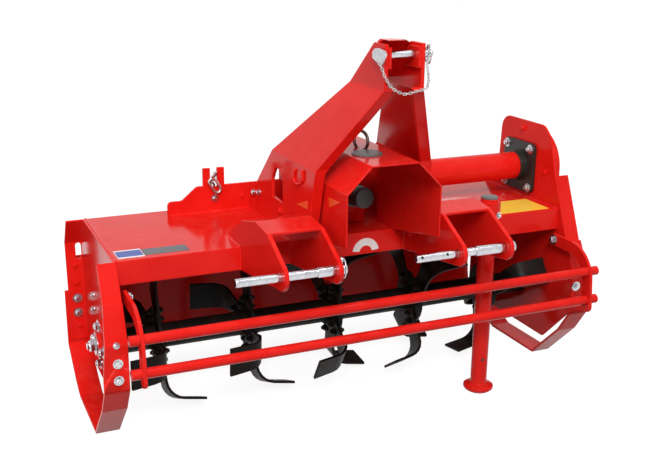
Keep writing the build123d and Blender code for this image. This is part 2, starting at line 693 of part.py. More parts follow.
def link(centre, along, across, length):
    """One chain link round a centre, its length along one direction and its width across it."""
    half = length / 2 - CHAIN_WIRE_R
    side = LINK_WIDTH / 2 - CHAIN_WIRE_R
    corners = [
        (half, side - LINK_CORNER),
        (half - LINK_CORNER, side),
        (LINK_CORNER - half, side),
        (-half, side - LINK_CORNER),
        (-half, LINK_CORNER - side),
        (LINK_CORNER - half, -side),
        (half - LINK_CORNER, -side),
        (half, LINK_CORNER - side),
    ]
    with BuildPart() as one:
        with BuildLine() as path:
            Polyline(*[centre + along * ahead + across * aside for ahead, aside in corners], close=True)
        start = path.edges().sort_by(Edge.length)[-1]
        with BuildSketch(Plane(origin=start @ 0.5, z_dir=start % 0.5)):
            RegularPolygon(CHAIN_WIRE_R, WIRE_SIDES)
        sweep(path=path.wires()[0], transition=Transition.RIGHT)
    return one.part


for chain_x, label in zip(CHAIN_XS, ("tail_chain_right", "tail_chain_left")):
    along = HANG.normalized()
    loose_z = CHAIN_TOP[1] + CHAIN_WIRE_R - LOOSE_LINK / 2
    loose = Vector(chain_x, HOOD_FRONT_Y + CHAIN_TOP[0], loose_z)
    links = [link(loose, Vector(0, 0, -1), Vector(1, 0, 0), LOOSE_LINK)]
    for index in range(LINK_COUNT):
        hung = LINK_PITCH * (index + 0.5) - PIN_WRAP
        middle = Vector(chain_x, HOOD_FRONT_Y + CHAIN_TOP[0], CHAIN_TOP[1]) + along * hung
        across = Vector(1, 0, 0) if index % 2 else along.cross(Vector(1, 0, 0))
        links.append(link(middle, along, across, LINK_PITCH + 4 * CHAIN_WIRE_R + LINK_PLAY))
    with BuildPart() as tail_chain:
        for each in links:
            add(each)
    save(tail_chain, label)

# ---- parking stand ----------------------------------------------------------------------------
SLEEVE = 8.0
SLEEVE_LOW = 520.0
SLEEVE_HEIGHT = 85.0
SLEEVE_ARM = 30.0
STAND_GAP = 0.5
STAND_TOP = 612.0
# outline of the stand from the middle of its sole up to its cap, as (radius, Z) pairs
STAND_LINE = [
    (0, 0),
    (38, 0),
    (46, 8),
    (46, 16),
    (STAND_R, 24),
    (STAND_R, STAND_TOP),
    (0, STAND_TOP),
]
ARM_START = HITCH_X + 332  # outer face of the left hitch bracket
with BuildPart() as stand_sleeve:
    with BuildSketch(level_plane(SLEEVE_LOW)):
        with Locations((STAND_X, STAND_Y)):
            RegularPolygon(STAND_R + STAND_GAP + SLEEVE, ROUND_SIDES)
        with Locations((ARM_START, STAND_Y)):
            Rectangle(STAND_X - ARM_START, SLEEVE_ARM, align=(Align.MIN, Align.CENTER))
        with Locations((STAND_X, STAND_Y)):
            RegularPolygon(STAND_R + STAND_GAP, ROUND_SIDES, major_radius=False, mode=Mode.SUBTRACT)
    extrude(amount=SLEEVE_HEIGHT)
save(stand_sleeve, "stand_sleeve")

with BuildPart() as stand_tube:
    with BuildSketch(Plane(origin=(STAND_X, HOOD_FRONT_Y + STAND_Y, 0), x_dir=(1, 0, 0), z_dir=(0, -1, 0))):
        with BuildLine():
            Polyline(*STAND_LINE, close=True)
        make_face()
    revolve(axis=Axis((STAND_X, HOOD_FRONT_Y + STAND_Y, 0), (0, 0, 1)))
save(stand_tube, "stand_tube")
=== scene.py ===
import json
from math import cos, pi, radians, sin

import bmesh
import bpy
from mathutils import Matrix, Vector


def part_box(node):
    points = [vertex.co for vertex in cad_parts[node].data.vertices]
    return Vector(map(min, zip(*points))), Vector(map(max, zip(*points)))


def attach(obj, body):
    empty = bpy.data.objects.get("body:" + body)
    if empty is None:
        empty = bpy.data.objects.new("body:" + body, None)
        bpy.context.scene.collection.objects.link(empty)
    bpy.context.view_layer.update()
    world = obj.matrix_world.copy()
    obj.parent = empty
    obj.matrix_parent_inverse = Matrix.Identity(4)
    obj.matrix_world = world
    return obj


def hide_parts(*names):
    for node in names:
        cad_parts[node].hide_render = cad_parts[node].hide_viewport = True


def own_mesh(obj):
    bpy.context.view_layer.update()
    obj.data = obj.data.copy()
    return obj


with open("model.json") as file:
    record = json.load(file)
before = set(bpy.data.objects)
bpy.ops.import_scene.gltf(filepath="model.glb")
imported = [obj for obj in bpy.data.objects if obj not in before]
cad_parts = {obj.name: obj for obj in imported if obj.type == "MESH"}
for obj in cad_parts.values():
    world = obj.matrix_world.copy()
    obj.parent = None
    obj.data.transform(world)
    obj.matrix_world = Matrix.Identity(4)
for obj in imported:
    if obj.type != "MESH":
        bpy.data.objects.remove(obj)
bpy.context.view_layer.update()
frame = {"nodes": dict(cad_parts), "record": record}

# A parked rotary tiller: +X is the machine's left, -Y the tractor, +Z up from the floor, in metres.
# Tables of places are in millimetres in the same frame and are turned to metres once, by metres().
MM = 0.001


def metres(*values):
    """A point in metres from millimetres."""
    return Vector(value * MM for value in values)


def edge(node, axis, end):
    """Where a CAD node starts (end 0) or stops (end 1) along an axis, in millimetres."""
    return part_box(node)[end]["XYZ".index(axis)] / MM


# ---- nodes ----------------------------------------------------------------------------------
def add_node(tree, kind, settings=None, values=None, links=None):
    """A node of a tree: its settings, its sockets' values, and the sockets that feed it."""
    made = tree.nodes.new(kind)
    for name, value in (settings or {}).items():
        setattr(made, name, value)
    for name, value in (values or {}).items():
        made.inputs[name].default_value = value
    for name, sockets in (links or {}).items():
        for socket in sockets if isinstance(sockets, list) else [sockets]:
            tree.links.new(socket, made.inputs[name])
    return made


def colour(hexed):
    """A linear colour from an sRGB hex value."""
    parts = [int(hexed[i : i + 2], 16) / 255 for i in (1, 3, 5)]
    return tuple(p / 12.92 if p <= 0.04045 else ((p + 0.055) / 1.055) ** 2.4 for p in parts) + (1.0,)


def start_material(name):
    """An empty material: its tree, its surface shader and its Object coordinates."""
    made = bpy.data.materials.new(name)
    made.use_nodes = True
    tree = made.node_tree
    tree.nodes.clear()
    shader = add_node(tree, "ShaderNodeBsdfPrincipled")
    add_node(tree, "ShaderNodeOutputMaterial", links={"Surface": shader.outputs[0]})
    place = add_node(tree, "ShaderNodeTexCoord").outputs["Object"]
    return made, tree, shader, place


def mottle(tree, place, size, detail=3.0, rough=0.55):
    """Noise whose patches are a real size in millimetres."""
    values = {"Scale": 1 / (size * MM), "Detail": detail, "Roughness": rough}
    return add_node(tree, "ShaderNodeTexNoise", values=values, links={"Vector": place}).outputs["Fac"]


def spread(tree, socket, low, high, out_low, out_high):
    """A value carried from one range to another."""
    return add_node(
        tree,
        "ShaderNodeMapRange",
        values={"From Min": low, "From Max": high, "To Min": out_low, "To Max": out_high},
        links={"Value": socket},
    ).outputs["Result"]


def blend_colour(tree, share, first, second):
    """One colour turning to another by a share; each is a colour or a socket."""
    made = add_node(tree, "ShaderNodeMix", {"data_type": "RGBA"}, links={0: share})
    for index, value in ((6, first), (7, second)):
        if isinstance(value, tuple):
            made.inputs[index].default_value = value
        else:
            tree.links.new(value, made.inputs[index])
    return made.outputs[2]


def combine(tree, operation, first, second):
    """Two values put together by a mathematical operation; each is a number or a socket."""
    made = add_node(tree, "ShaderNodeMath", {"operation": operation})
    for socket, value in zip(made.inputs, (first, second)):
        if isinstance(value, (int, float)):
            socket.default_value = value
        else:
            tree.links.new(value, socket)
    return made.outputs[0]


def relief(tree, layers):
    """Bumps stacked on each other: (height socket, depth in mm, strength)."""
    normal = None
    for height, depth, strength in layers:
        links = {"Height": height}
        if normal is not None:
            links["Normal"] = normal
        normal = add_node(
            tree, "ShaderNodeBump", values={"Distance": depth * MM, "Strength": strength}, links=links
        ).outputs["Normal"]
    return normal


# ---- finishes -------------------------------------------------------------------------------
def enamel(name, main, deep, dust_and_reflection, gloss, peel, sheen):
    """Sprayed enamel on steel: a smooth gloss with orange peel, a drifting shade, and a pale tint on upward
    faces that is partly fine dust and partly a painted reflection of the bright room above.
    """
    made, tree, shader, place = start_material(name)
    drift = mottle(tree, place, 90.0, 4.0)
    speck = mottle(tree, place, 1.6, 2.0)
    tone = blend_colour(tree, spread(tree, drift, 0.35, 0.7, 0.0, 1.0), colour(main), colour(deep))
    facing = add_node(tree, "ShaderNodeNewGeometry").outputs["Normal"]
    upward = add_node(tree, "ShaderNodeSeparateXYZ", links={"Vector": facing}).outputs["Z"]
    # painted reflection: upward faces take the pale tint in patches, partly fine dust and partly a painted
    # reflection of the bright room above
    facing_up = spread(tree, upward, 0.4, 1.0, 0.0, 1.0)
    patchy = spread(tree, mottle(tree, place, 35.0, 5.0), 0.45, 0.75, 0.0, 0.07)
    dust_and_reflection_share = combine(tree, "MULTIPLY", facing_up, patchy)
    tree.links.new(blend_colour(tree, dust_and_reflection_share, tone, colour(dust_and_reflection)), shader.inputs["Base Color"])
    tree.links.new(spread(tree, speck, 0.3, 0.8, gloss, gloss + 0.08), shader.inputs["Roughness"])
    # the peel of the enamel is about 3 mm across, and the sheet itself waves over a hand's width
    layers = [(mottle(tree, place, 120.0, 1.0), 0.4, 0.15), (mottle(tree, place, 3.0, 1.0), 0.03, peel)]
    tree.links.new(relief(tree, layers), shader.inputs["Normal"])
    shader.inputs["IOR"].default_value = 1.5
    shader.inputs["Specular IOR Level"].default_value = sheen
    return made


def zinc(name, bright, dull, rough, grain):
    """Zinc plate on steel: bluish-silver, faintly cloudy, with turning or rolling marks under it."""
    made, tree, shader, place = start_material(name)
    cloud = spread(tree, mottle(tree, place, 14.0, 4.0), 0.35, 0.7, 0.0, 1.0)
    tree.links.new(blend_colour(tree, cloud, colour(bright), colour(dull)), shader.inputs["Base Color"])
    wear = mottle(tree, place, 6.0)
    tree.links.new(spread(tree, wear, 0.3, 0.8, rough, rough + 0.08), shader.inputs["Roughness"])
    marks = mottle(tree, place, grain, 2.0)
    tree.links.new(relief(tree, [(marks, 0.02, 0.04)]), shader.inputs["Normal"])
    shader.inputs["Metallic"].default_value = 1.0
    return made


def dipped(name, black, brown, rough, scale_size):
    """Forged spring steel dipped in black lacquer: nearly matt, brownish mill scale showing in patches."""
    made, tree, shader, place = start_material(name)
    patch = spread(tree, mottle(tree, place, scale_size, 6.0, 0.65), 0.48, 0.72, 0.0, 1.0)
    tree.links.new(blend_colour(tree, patch, colour(black), colour(brown)), shader.inputs["Base Color"])
    tree.links.new(spread(tree, patch, 0.0, 1.0, rough, rough + 0.2), shader.inputs["Roughness"])
    pits = mottle(tree, place, 5.0, 4.0)
    tree.links.new(relief(tree, [(pits, 0.25, 0.35)]), shader.inputs["Normal"])
    shader.inputs["IOR"].default_value = 1.5
    shader.inputs["Specular IOR Level"].default_value = 0.1
    return made


def moulded(name, main, deep, rough):
    """Moulded plastic: an even body colour under the fine grain of the mould, 1.2 mm across."""
    made, tree, shader, place = start_material(name)
    drift = mottle(tree, place, 25.0)
    tree.links.new(blend_colour(tree, drift, colour(main), colour(deep)), shader.inputs["Base Color"])
    grain = mottle(tree, place, 1.2, 2.0)
    tree.links.new(spread(tree, grain, 0.3, 0.8, rough, rough + 0.15), shader.inputs["Roughness"])
    tree.links.new(relief(tree, [(grain, 0.08, 0.4)]), shader.inputs["Normal"])
    shader.inputs["IOR"].default_value = 1.46
    return made


def vinyl(name, main, deep):
    """Printed vinyl film, laminated: a flat colour with a soft sheen and slightly lifted air pockets."""
    made, tree, shader, place = start_material(name)
    drift = mottle(tree, place, 30.0)
    tree.links.new(blend_colour(tree, drift, colour(main), colour(deep)), shader.inputs["Base Color"])
    tree.links.new(spread(tree, drift, 0.3, 0.7, 0.28, 0.4), shader.inputs["Roughness"])
    tree.links.new(relief(tree, [(mottle(tree, place, 8.0), 0.1, 0.2)]), shader.inputs["Normal"])
    shader.inputs["IOR"].default_value = 1.5
    return made


# the pale pink third colour is partly settled dust and partly a painted reflection on upward faces
RED = enamel("red_enamel", "#E0211A", "#D61812", "#DE8F80", 0.1, 0.12, 0.09)
BLACK = enamel("black_enamel", "#24221F", "#2E2A26", "#6B655F", 0.32, 0.3, 0.3)
ROTOR_BLACK = dipped("rotor_lacquer", "#100F0D", "#231511", 0.45, 40.0)
BLADE_BLACK = dipped("blade_lacquer", "#0E0D0B", "#2A1612", 0.42, 26.0)
ZINC = zinc("bright_zinc_plate", "#CDCED2", "#B9BABF", 0.16, 1.2)
CHAIN_ZINC = zinc("chain_zinc_plate", "#CFD0D1", "#A9AAAB", 0.3, 2.0)
OILED = zinc("oiled_steel", "#4A4B45", "#2E2E2A", 0.28, 1.5)
WORN = zinc("worn_steel", "#8C817A", "#5A4E48", 0.36, 2.0)
BLACK_PLASTIC = moulded("black_polypropylene", "#1C1C1B", "#252423", 0.4)
GREY_PLASTIC = moulded("grey_polypropylene", "#6E6A6A", "#5C5858", 0.38)
YELLOW_FILM = vinyl("yellow_film", "#FFD64A", "#FACB40")
WHITE_FILM = vinyl("white_film", "#EDECEA", "#E2E0DD")
BLUE_FILM = vinyl("blue_film", "#2F4DA6", "#2A4698")
GREY_FILM = vinyl("grey_film", "#4B4A52", "#44434B")
ORANGE_FILM = vinyl("orange_film", "#EA5A1C", "#E25018")
SLOT_FINISH = {
    "red_paint": RED,
    "black_paint": BLACK,
    "rotor_paint": ROTOR_BLACK,
    "blade_steel": BLADE_BLACK,
    "zinc_steel": ZINC,
    "chain_steel": CHAIN_ZINC,
    "shaft_steel": OILED,
    "black_plastic": BLACK_PLASTIC,
}
NODE_SLOT = {part["node"]: part["material_slot"] for part in frame["record"]["subparts"]}
NODE_BODY = {node: body for body, nodes in frame["record"]["behaviour"]["bodies"].items() for node in nodes}
for node_name, part in frame["nodes"].items():
    part.data.materials.clear()
    part.data.materials.append(SLOT_FINISH[NODE_SLOT[node_name]])


# ---- pieces ---------------------------------------------------------------------------------
SHARP = radians(38)


def settle_piece(name, mesh, body, finish=None, shaded=False):
    """A finished mesh as a piece that rides on a body; a shaded one keeps the normals it comes with."""
    if not shaded:
        mesh.shade_smooth()
        mesh.set_sharp_from_angle(angle=SHARP)
    if finish is not None:
        mesh.materials.clear()
        mesh.materials.append(finish)
    piece = bpy.data.objects.new(name, mesh)
    bpy.context.scene.collection.objects.link(piece)
    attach(piece, body)
    return piece


def baked(source):
    """The evaluated mesh of an object, which is then removed."""
    bpy.context.view_layer.update()
    graph = bpy.context.evaluated_depsgraph_get()
    mesh = bpy.data.meshes.new_from_object(source.evaluated_get(graph))
    bpy.data.objects.remove(source)
    return mesh


def from_bmesh(name, shape, body, finish):
    """A bmesh as a riding piece, its faces outwards."""
    bmesh.ops.recalc_face_normals(shape, faces=shape.faces)
    mesh = bpy.data.meshes.new(name)
    shape.to_mesh(mesh)
    shape.free()
    return settle_piece(name, mesh, body, finish)


def eased(node_name, width, least_bend):
    """A CAD node with its edges eased as cut, folded or cast edges are; the copy stands for the node."""
    shape = bmesh.new()
    shape.from_mesh(frame["nodes"][node_name].data)
    bmesh.ops.remove_doubles(shape, verts=shape.verts, dist=2e-5)
    bmesh.ops.dissolve_limit(shape, angle_limit=radians(0.4), verts=shape.verts, edges=shape.edges)
    mesh = bpy.data.meshes.new(node_name + "_eased")
    shape.to_mesh(mesh)
    shape.free()
    mesh.shade_smooth()
    source = bpy.data.objects.new(node_name + "_source", mesh)
    bpy.context.scene.collection.objects.link(source)
    bevel = source.modifiers.new("ease", "BEVEL")
    bevel.width = width * MM
    bevel.segments = 2
    bevel.limit_method = "ANGLE"
    bevel.angle_limit = radians(least_bend)
    bevel.use_clamp_overlap = False
    # the flat faces keep their own normals, so only the eased edges shade round
    weighted = source.modifiers.new("flats", "WEIGHTED_NORMAL")
    weighted.mode = "FACE_AREA"
    weighted.weight = 50
    weighted.keep_sharp = False
    slot = NODE_SLOT[node_name]
    finish = SLOT_FINISH[slot]
    made = baked(source)
    low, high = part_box(node_name)
    for vertex in made.vertices:
        vertex.co = [min(max(value, least), most) for value, least, most in zip(vertex.co, low, high)]
    piece = settle_piece(node_name + "_dressed", made, NODE_BODY[node_name], finish, shaded=True)
    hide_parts(node_name)


# ---- node trees for what repeats ------------------------------------------------------------
def start_tree(name, inputs):
    """A geometry tree with named inputs: (name, socket type, default or None)."""
    tree = bpy.data.node_groups.new(name, "GeometryNodeTree")
    tree.is_modifier = True
    for label, kind, default in inputs:
        socket = tree.interface.new_socket(name=label, in_out="INPUT", socket_type=kind)
        if default is not None:
            socket.default_value = default
    tree.interface.new_socket(name="Made", in_out="OUTPUT", socket_type="NodeSocketGeometry")
    return tree, add_node(tree, "NodeGroupInput").outputs


def end_tree(tree, shape, finish):
    """The last nodes of a tree: everything is made real and given its finish."""
    real = add_node(tree, "GeometryNodeRealizeInstances", links={"Geometry": shape})
    given = add_node(tree, "GeometryNodeSetMaterial", links={"Geometry": real.outputs[0], "Material": finish})
    add_node(tree, "NodeGroupOutput", links={"Made": given.outputs[0]})
    return tree


def moved_mesh(tree, mesh, height):
    """A mesh of a tree, raised along Z by a socket."""
    lift = add_node(tree, "ShaderNodeCombineXYZ", links={"Z": height}).outputs[0]
    return add_node(tree, "GeometryNodeTransform", links={"Geometry": mesh, "Translation": lift}).outputs[0]


def times(tree, socket, factor):
    """A socket multiplied by a number."""
    return combine(tree, "MULTIPLY", socket, factor)


def fastener_tree():
    """Hexagon heads on washers at points, turned to "facing" and scaled by "width" over the flats."""
    tree, given = start_tree(
        "hexagon_fasteners",
        [
            ("Places", "NodeSocketGeometry", None),
            ("Head Height", "NodeSocketFloat", 0.5),
            ("Washer Radius", "NodeSocketFloat", 0.88),
            ("Washer Height", "NodeSocketFloat", 0.14),
            ("Thread Radius", "NodeSocketFloat", 0.32),
            ("Thread Height", "NodeSocketFloat", 0.12),
            ("Finish", "NodeSocketMaterial", None),
        ],
    )
    corner = 0.5 / cos(pi / 6)
    washer = add_node(
        tree,
        "GeometryNodeMeshCylinder",
        values={"Vertices": 24},
        links={"Radius": given["Washer Radius"], "Depth": given["Washer Height"]},
    ).outputs["Mesh"]
    body_height = times(tree, given["Head Height"], 0.8)
    hexagon = add_node(
        tree,
        "GeometryNodeMeshCylinder",
        values={"Vertices": 6, "Radius": corner},
        links={"Depth": body_height},
    ).outputs["Mesh"]
    crown_height = times(tree, given["Head Height"], 0.2)
    crown = add_node(
        tree,
        "GeometryNodeMeshCone",
        values={"Vertices": 6, "Radius Top": corner * 0.84, "Radius Bottom": corner},
        links={"Depth": crown_height},
    ).outputs["Mesh"]
    thread = add_node(
        tree,
        "GeometryNodeMeshCylinder",
        values={"Vertices": 16},
        links={"Radius": given["Thread Radius"], "Depth": given["Thread Height"]},
    ).outputs["Mesh"]
    thickness = given["Washer Height"]
    head_middle = combine(tree, "ADD", thickness, times(tree, body_height, 0.5))
    crown_foot = combine(tree, "ADD", thickness, body_height)
    top = combine(tree, "ADD", crown_foot, crown_height)
    thread_middle = combine(tree, "ADD", top, times(tree, given["Thread Height"], 0.45))
    parts = [
        moved_mesh(tree, washer, times(tree, thickness, 0.5)),
        moved_mesh(tree, hexagon, head_middle),
        moved_mesh(tree, crown, crown_foot),
        moved_mesh(tree, thread, thread_middle),
    ]
    one = add_node(tree, "GeometryNodeJoinGeometry", links={"Geometry": parts}).outputs[0]
    facing = add_node(
        tree, "GeometryNodeInputNamedAttribute", {"data_type": "FLOAT_VECTOR"}, values={"Name": "facing"}
    ).outputs["Attribute"]
    width = add_node(
        tree, "GeometryNodeInputNamedAttribute", {"data_type": "FLOAT"}, values={"Name": "width"}
    ).outputs["Attribute"]
    aim = add_node(
        tree, "FunctionNodeAlignRotationToVector", {"axis": "Z"}, links={"Vector": facing}
    ).outputs[0]
    spots = add_node(
        tree,
        "GeometryNodeInstanceOnPoints",
        links={"Points": given["Places"], "Instance": one, "Rotation": aim, "Scale": width},
    ).outputs[0]
    return end_tree(tree, spots, given["Finish"])


def bead_tree():
    """Weld beads that follow the edges of a mesh of lines, their radius pulsing once for each ripple."""
    tree, given = start_tree(
        "weld_beads",
        [
            ("Lines", "NodeSocketGeometry", None),
            ("Leg", "NodeSocketFloat", 0.004),
            ("Ripple", "NodeSocketFloat", 0.005),
            ("Finish", "NodeSocketMaterial", None),
        ],
    )
    line = add_node(tree, "GeometryNodeMeshToCurve", links={"Mesh": given["Lines"]}).outputs[0]
    step = times(tree, given["Ripple"], 0.5)
    even = add_node(
        tree, "GeometryNodeResampleCurve", {"mode": "LENGTH"}, links={"Curve": line, "Length": step}
    )
    index = add_node(tree, "GeometryNodeInputIndex").outputs[0]
    odd = combine(tree, "MODULO", index, 2.0)
    pulse = add_node(
        tree, "ShaderNodeMath", {"operation": "MULTIPLY_ADD"}, values={1: 0.16, 2: 0.92}, links={0: odd}
    ).outputs[0]
    swelling = add_node(
        tree, "GeometryNodeSetCurveRadius", links={"Curve": even.outputs[0], "Radius": pulse}
    ).outputs[0]
    profile = add_node(
        tree, "GeometryNodeCurvePrimitiveCircle", values={"Resolution": 8}, links={"Radius": given["Leg"]}
    ).outputs["Curve"]
    bead = add_node(
        tree,
        "GeometryNodeCurveToMesh",
        values={"Fill Caps": True},
        links={"Curve": swelling, "Profile Curve": profile},
    ).outputs[0]
    return end_tree(tree, bead, given["Finish"])


def link_tree():
    """Chain links along a mesh of lines, each turned a quarter against the last."""
    tree, given = start_tree(
        "chain_links",
        [
            ("Lines", "NodeSocketGeometry", None),
            ("Pitch", "NodeSocketFloat", 0.02),
            ("Link Length", "NodeSocketFloat", 0.028),
            ("Link Width", "NodeSocketFloat", 0.016),
            ("Wire Radius", "NodeSocketFloat", 0.002),
            ("Finish", "NodeSocketMaterial", None),
        ],
    )
    line = add_node(tree, "GeometryNodeMeshToCurve", links={"Mesh": given["Lines"]}).outputs[0]
    even = add_node(
        tree, "GeometryNodeResampleCurve", {"mode": "LENGTH"}, links={"Curve": line, "Length": given["Pitch"]}
    )
    oblong = add_node(
        tree,
        "GeometryNodeCurvePrimitiveQuadrilateral",
        links={"Width": given["Link Length"], "Height": given["Link Width"]},
    ).outputs[0]
    rounded = add_node(
        tree,
        "GeometryNodeFilletCurve",
        {"mode": "POLY"},
        values={"Count": 4},
        links={"Curve": oblong, "Radius": times(tree, given["Link Width"], 0.49)},
    )
    wire = add_node(
        tree,
        "GeometryNodeCurvePrimitiveCircle",
        values={"Resolution": 8},
        links={"Radius": given["Wire Radius"]},
    ).outputs["Curve"]
    link = add_node(
        tree, "GeometryNodeCurveToMesh", links={"Curve": rounded.outputs[0], "Profile Curve": wire}
    ).outputs[0]
    tangent = add_node(tree, "GeometryNodeInputTangent").outputs[0]
    along = add_node(
        tree, "FunctionNodeAlignRotationToVector", {"axis": "X"}, links={"Vector": tangent}
    ).outputs[0]
    index = add_node(tree, "GeometryNodeInputIndex").outputs[0]
    roll = times(tree, index, pi / 2)
    turn = add_node(
        tree, "FunctionNodeAxisAngleToRotation", values={"Axis": (1.0, 0.0, 0.0)}, links={"Angle": roll}
    ).outputs[0]
    rolled = add_node(
        tree,
        "FunctionNodeRotateRotation",
        {"rotation_space": "LOCAL"},
        links={"Rotation": along, "Rotate By": turn},
    ).outputs[0]
    links = add_node(
        tree,
        "GeometryNodeInstanceOnPoints",
        links={"Points": even.outputs[0], "Instance": link, "Rotation": rolled},
    ).outputs[0]
    return end_tree(tree, links, given["Finish"])


def grown(name, tree, source_mesh, sizes, body):
    """What a tree makes from a mesh, as a plain riding mesh."""
    source = bpy.data.objects.new(name + "_source", source_mesh)
    bpy.context.scene.collection.objects.link(source)
    modifier = source.modifiers.new("grow", "NODES")
    modifier.node_group = tree
    for item in tree.interface.items_tree:
        if item.in_out == "INPUT" and item.name in sizes:
            modifier[item.identifier] = sizes[item.name]
    return settle_piece(name, baked(source), body)


HEXAGONS = fastener_tree()
BEADS = bead_tree()
LINKS = link_tree()


def fasteners(name, body, places, slot="zinc_steel", finish=None, **sizes):
    """Hexagon fasteners at (x, y, z, facing, width over flats), in millimetres."""
    mesh = bpy.data.meshes.new(name + "_places")
    mesh.from_pydata([metres(x, y, z) for x, y, z, facing, width in places], [], [])
    mesh.attributes.new("facing", "FLOAT_VECTOR", "POINT")
    mesh.attributes.new("width", "FLOAT", "POINT")
    for index, (x, y, z, facing, width) in enumerate(places):
        mesh.attributes["facing"].data[index].vector = Vector(facing).normalized()
        mesh.attributes["width"].data[index].value = width * MM
    named = {key.replace("_", " ").title(): value for key, value in sizes.items()}
    return grown(name, HEXAGONS, mesh, {"Finish": finish or ZINC, **named}, body)


def line_mesh(name, lines):
    """A mesh of open lines from lists of points in millimetres."""
    points = [metres(*point) for line in lines for point in line]
    pairs = []
    first = 0
    for line in lines:
        pairs += [(first + i, first + i + 1) for i in range(len(line) - 1)]
        first += len(line)
    mesh = bpy.data.meshes.new(name + "_lines")
    mesh.from_pydata(points, pairs, [])
    return mesh


def welds(name, body, lines, leg=4.0, finish=None):
    """Painted weld beads along lines."""
    sizes = {"Leg": leg * MM, "Ripple": 5.0 * MM, "Finish": finish or RED}
    return grown(name, BEADS, line_mesh(name, lines), sizes, body)


def rod(name, points, radius, body, finish, closed=False, sides=4):
    """A bent round rod through points in millimetres."""
    curve = bpy.data.curves.new(name, "CURVE")
    curve.dimensions = "3D"
    curve.bevel_depth = radius * MM
    curve.bevel_resolution = sides
    curve.use_fill_caps = not closed
    spline = curve.splines.new("POLY")
    spline.points.add(len(points) - 1)
    for point, place in zip(spline.points, points):
        point.co = (*metres(*place), 1.0)
    spline.use_cyclic_u = closed
    source = bpy.data.objects.new(name + "_source", curve)
    bpy.context.scene.collection.objects.link(source)
    return settle_piece(name, baked(source), body, finish)


def turned(name, centre, axis, steps, body, finish, sides=32):
    """A turned shape round an axis from (distance along it, radius) steps, in millimetres."""
    shape = bmesh.new()
    aim = Vector(axis).normalized().to_track_quat("Z", "Y")
    rings = []
    for along, radius in steps:
        ring = []
        for index in range(sides):
            angle = 2 * pi * index / sides
            local = Vector((radius * cos(angle), radius * sin(angle), along)) * MM
            ring.append(shape.verts.new(metres(*centre) + aim @ local))
        rings.append(ring)
    for low, high in zip(rings, rings[1:]):
        for index in range(sides):
            after = (index + 1) % sides
            shape.faces.new((low[index], low[after], high[after], high[index]))
    shape.faces.new(rings[0][::-1])
    shape.faces.new(rings[-1])
    return from_bmesh(name, shape, body, finish)


def panel(name, outline, normal, thick, body, finish):
    """A thin panel from its outline's points in millimetres, raised along a normal."""
    shape = bmesh.new()
    lift = Vector(normal).normalized() * thick * MM
    low = [shape.verts.new(metres(*point)) for point in outline]
    high = [shape.verts.new(metres(*point) + lift) for point in outline]
    shape.faces.new(low[::-1])
    shape.faces.new(high)
    for index in range(len(outline)):
        after = (index + 1) % len(outline)
        shape.faces.new((low[index], low[after], high[after], high[index]))
    return from_bmesh(name, shape, body, finish)


def arc(centre, radius, start, stop, count):
    """Points of an arc in a plane, as pairs, its angles in degrees."""
    return [
        (
            centre[0] + radius * cos(radians(start + (stop - start) * i / (count - 1))),
            centre[1] + radius * sin(radians(start + (stop - start) * i / (count - 1))),
        )
        for i in range(count)
    ]


def oblong_points(centre, along, across, length, width):
    """Points round a link with round ends, from its middle, directions, length and width."""
    reach = (length - width) / 2
    ends = [(reach, point) for point in arc((0, 0), width / 2, -90, 90, 9)]
    ends += [(-reach, point) for point in arc((0, 0), width / 2, 90, 270, 9)]
    middle, ahead, aside = Vector(centre), Vector(along), Vector(across)
    return [tuple(middle + ahead * (shift + point[0]) + aside * point[1]) for shift, point in ends]


# ---- steel edges ----------------------------------------------------------------------------
# node, how far its edges are eased in millimetres, the least bend in degrees that counts as an edge
EASED = [
    ("hood_deck", 2.2, 12),
    ("side_plate_right", 1.6, 12),
    ("side_plate_left", 1.6, 12),
    ("skid_right", 2.0, 8),
    ("skid_left", 2.0, 8),
    ("gear_case", 3.0, 32),
    ("bearing_housing", 2.5, 32),
    ("rear_beam", 1.4, 24),
    ("mast_arm_right", 2.0, 12),
    ("mast_arm_left", 2.0, 12),
    ("mast_head", 1.2, 32),
    ("hitch_bracket_right", 1.8, 15),
    ("hitch_bracket_left", 1.8, 15),
    ("gearbox", 3.5, 32),
    ("pto_shield", 1.2, 24),
    ("tube_flange", 1.5, 32),
    ("guard_arm_right", 1.5, 32),
    ("guard_arm_left", 1.5, 32),
    ("guard_bar_upper", 1.2, 32),
    ("guard_bar_lower", 1.2, 32),
    ("tailboard", 1.2, 32),
    ("tail_hinge", 1.0, 32),
    ("stand_sleeve", 1.5, 32),
    ("stand_tube", 2.0, 40),
    ("rotor_tube", 1.2, 32),
    ("top_link_pin", 1.0, 32),
]
EASED += [(f"blade_set_{index}", 1.2, 24) for index in range(1, 6)]
for node_name, width, least_bend in EASED:
    eased(node_name, width, least_bend)

# ---- places shared by the fittings ----------------------------------------------------------
HOOD_FRONT = edge("hood_deck", "Y", 0)
DECK_Z = edge("hood_deck", "Z", 1)
PLATE_OUT = -edge("side_plate_right", "X", 0) - 50.0  # faces of the side plates, in from the rear folds
PLATE_IN = PLATE_OUT - 8.0
ROTOR_Y = (edge("rotor_tube", "Y", 0) + edge("rotor_tube", "Y", 1)) / 2
ROTOR_Z = (edge("rotor_tube", "Z", 0) + edge("rotor_tube", "Z", 1)) / 2
DRIVE_Y = (edge("drive_tube", "Y", 0) + edge("drive_tube", "Y", 1)) / 2
DRIVE_Z = (edge("drive_tube", "Z", 0) + edge("drive_tube", "Z", 1)) / 2
HITCH_X = (edge("pto_shield", "X", 0) + edge("pto_shield", "X", 1)) / 2
PIN_Y = (edge("hitch_pin_right", "Y", 0) + edge("hitch_pin_right", "Y", 1)) / 2
PIN_Z = (edge("hitch_pin_right", "Z", 0) + edge("hitch_pin_right", "Z", 1)) / 2
